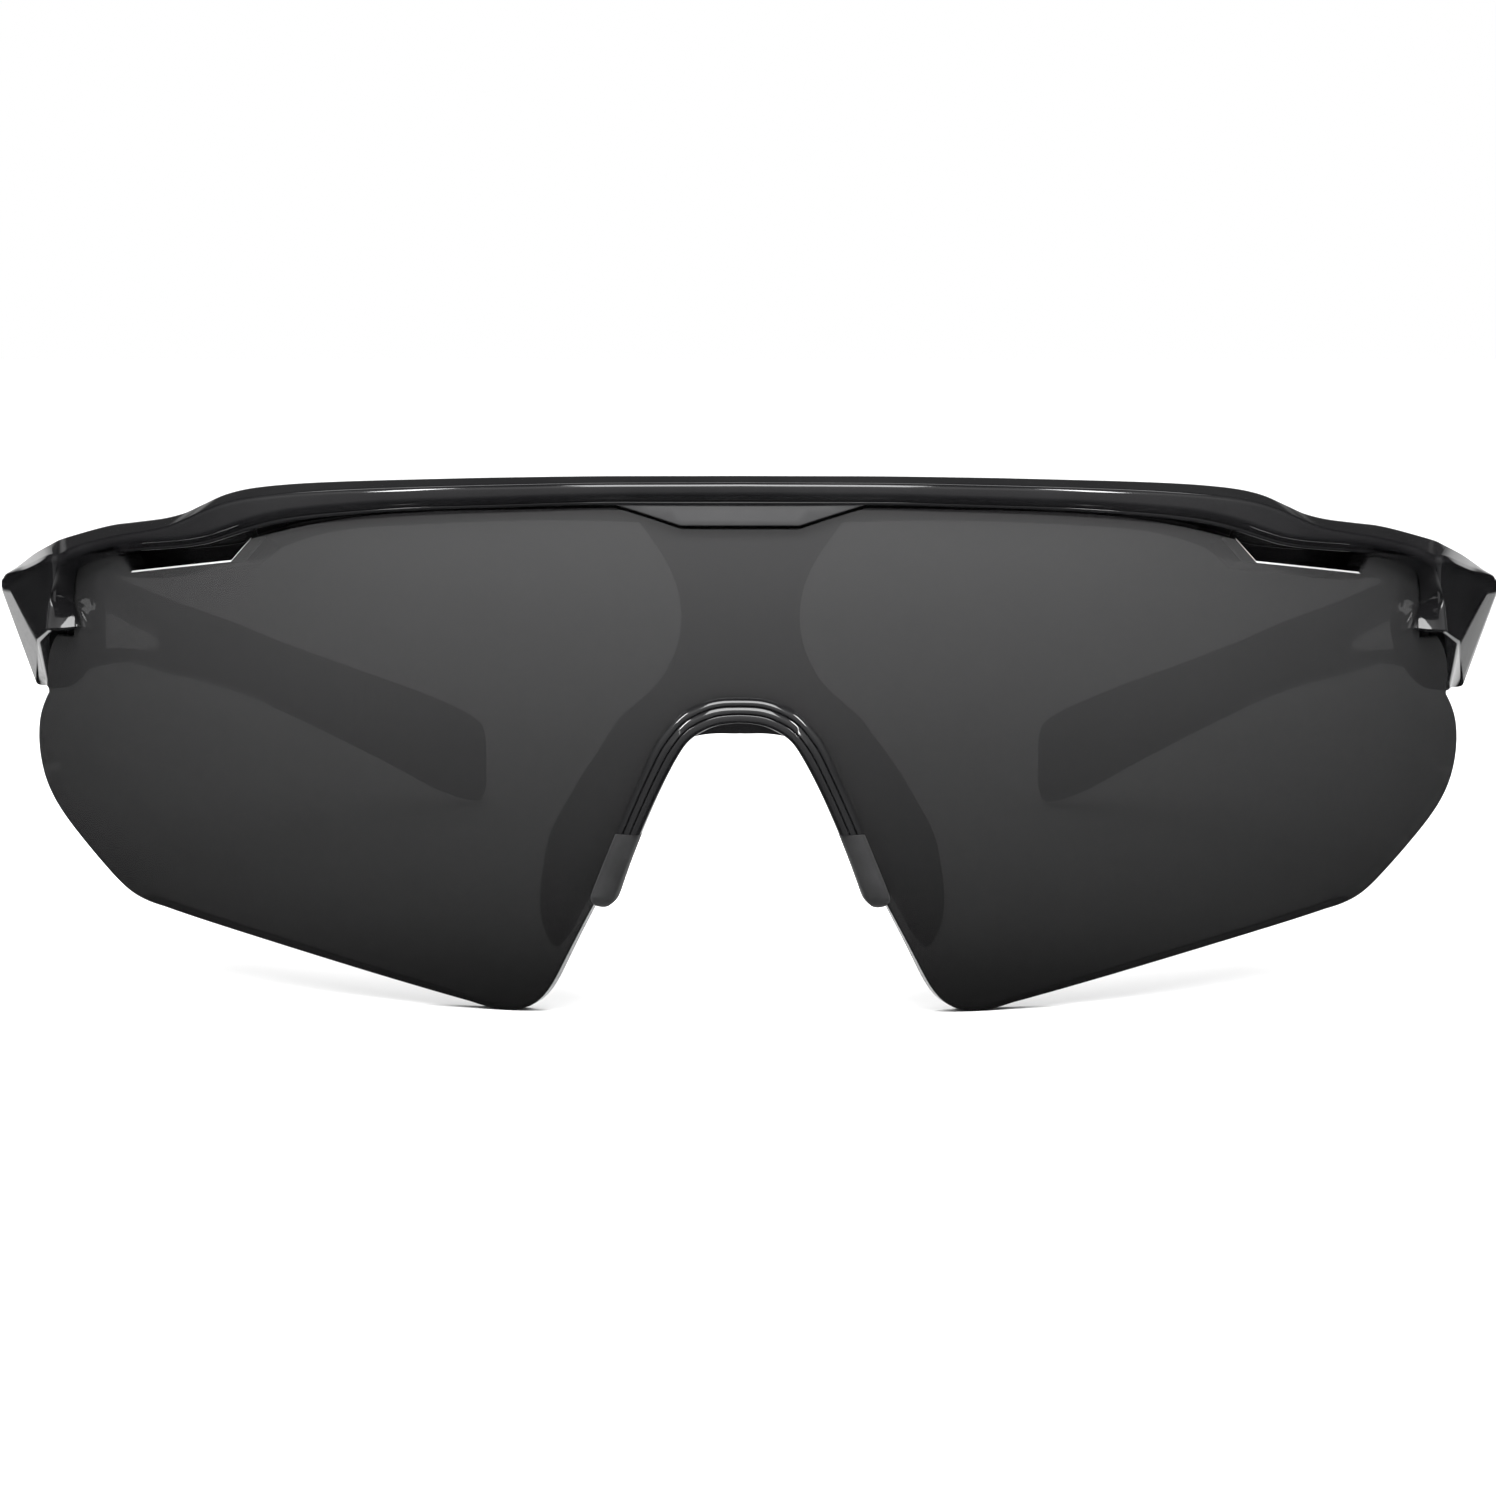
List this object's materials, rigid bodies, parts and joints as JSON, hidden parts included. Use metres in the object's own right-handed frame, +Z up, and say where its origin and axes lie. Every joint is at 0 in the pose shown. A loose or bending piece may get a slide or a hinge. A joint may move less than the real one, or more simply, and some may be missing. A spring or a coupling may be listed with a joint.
{
  "type": "sport sunglasses",
  "caption": "Wraparound sport sunglasses: one smoke shield lens under a slim gloss brow bar, clip-on nose arch, folding windowed temples with rubber ear grips.",
  "frame": {"origin": "centre of the bounding box's base, on the surface that the sunglasses stand on with the temples open", "axes": "+Z up, -Y the way the wearer looks, +X the wearer's left"},
  "size_m": [0.1456, 0.1706, 0.0475],
  "materials": {
    "frame_gloss": "gloss",
    "lens_smoke": "polished",
    "soft_rubber": "matte",
    "hinge_metal": "satin",
    "screw_metal": "satin"
  },
  "bodies": {
    "front": {"front_frame": "frame_gloss", "shield_lens": "lens_smoke", "nose_bridge": "frame_gloss", "nose_pad_left": "soft_rubber", "nose_pad_right": "soft_rubber", "hinge_frame_leaf_left": "hinge_metal", "hinge_pin_left": "screw_metal", "frame_leaf_screw_lower_left": "screw_metal", "frame_leaf_screw_upper_left": "screw_metal", "hinge_frame_leaf_right": "hinge_metal", "hinge_pin_right": "screw_metal", "frame_leaf_screw_lower_right": "screw_metal", "frame_leaf_screw_upper_right": "screw_metal"},
    "temple_left": {"temple_left": "frame_gloss", "ear_grip_left": "soft_rubber", "hinge_temple_leaf_left": "hinge_metal", "temple_leaf_screw_lower_left": "screw_metal", "temple_leaf_screw_upper_left": "screw_metal"},
    "temple_right": {"temple_right": "frame_gloss", "ear_grip_right": "soft_rubber", "hinge_temple_leaf_right": "hinge_metal", "temple_leaf_screw_lower_right": "screw_metal", "temple_leaf_screw_upper_right": "screw_metal"}
  },
  "joints": [
    {"name": "temple_fold_left", "type": "hinge", "parent": "front", "child": "temple_left", "pos_m": [0.0645, -0.03385, 0.0315], "axis": [0, 0, 1], "range_deg": [0, 84]},
    {"name": "temple_fold_right", "type": "hinge", "parent": "front", "child": "temple_right", "pos_m": [-0.0645, -0.03385, 0.0315], "axis": [0, 0, -1], "range_deg": [0, 74]}
  ]
}
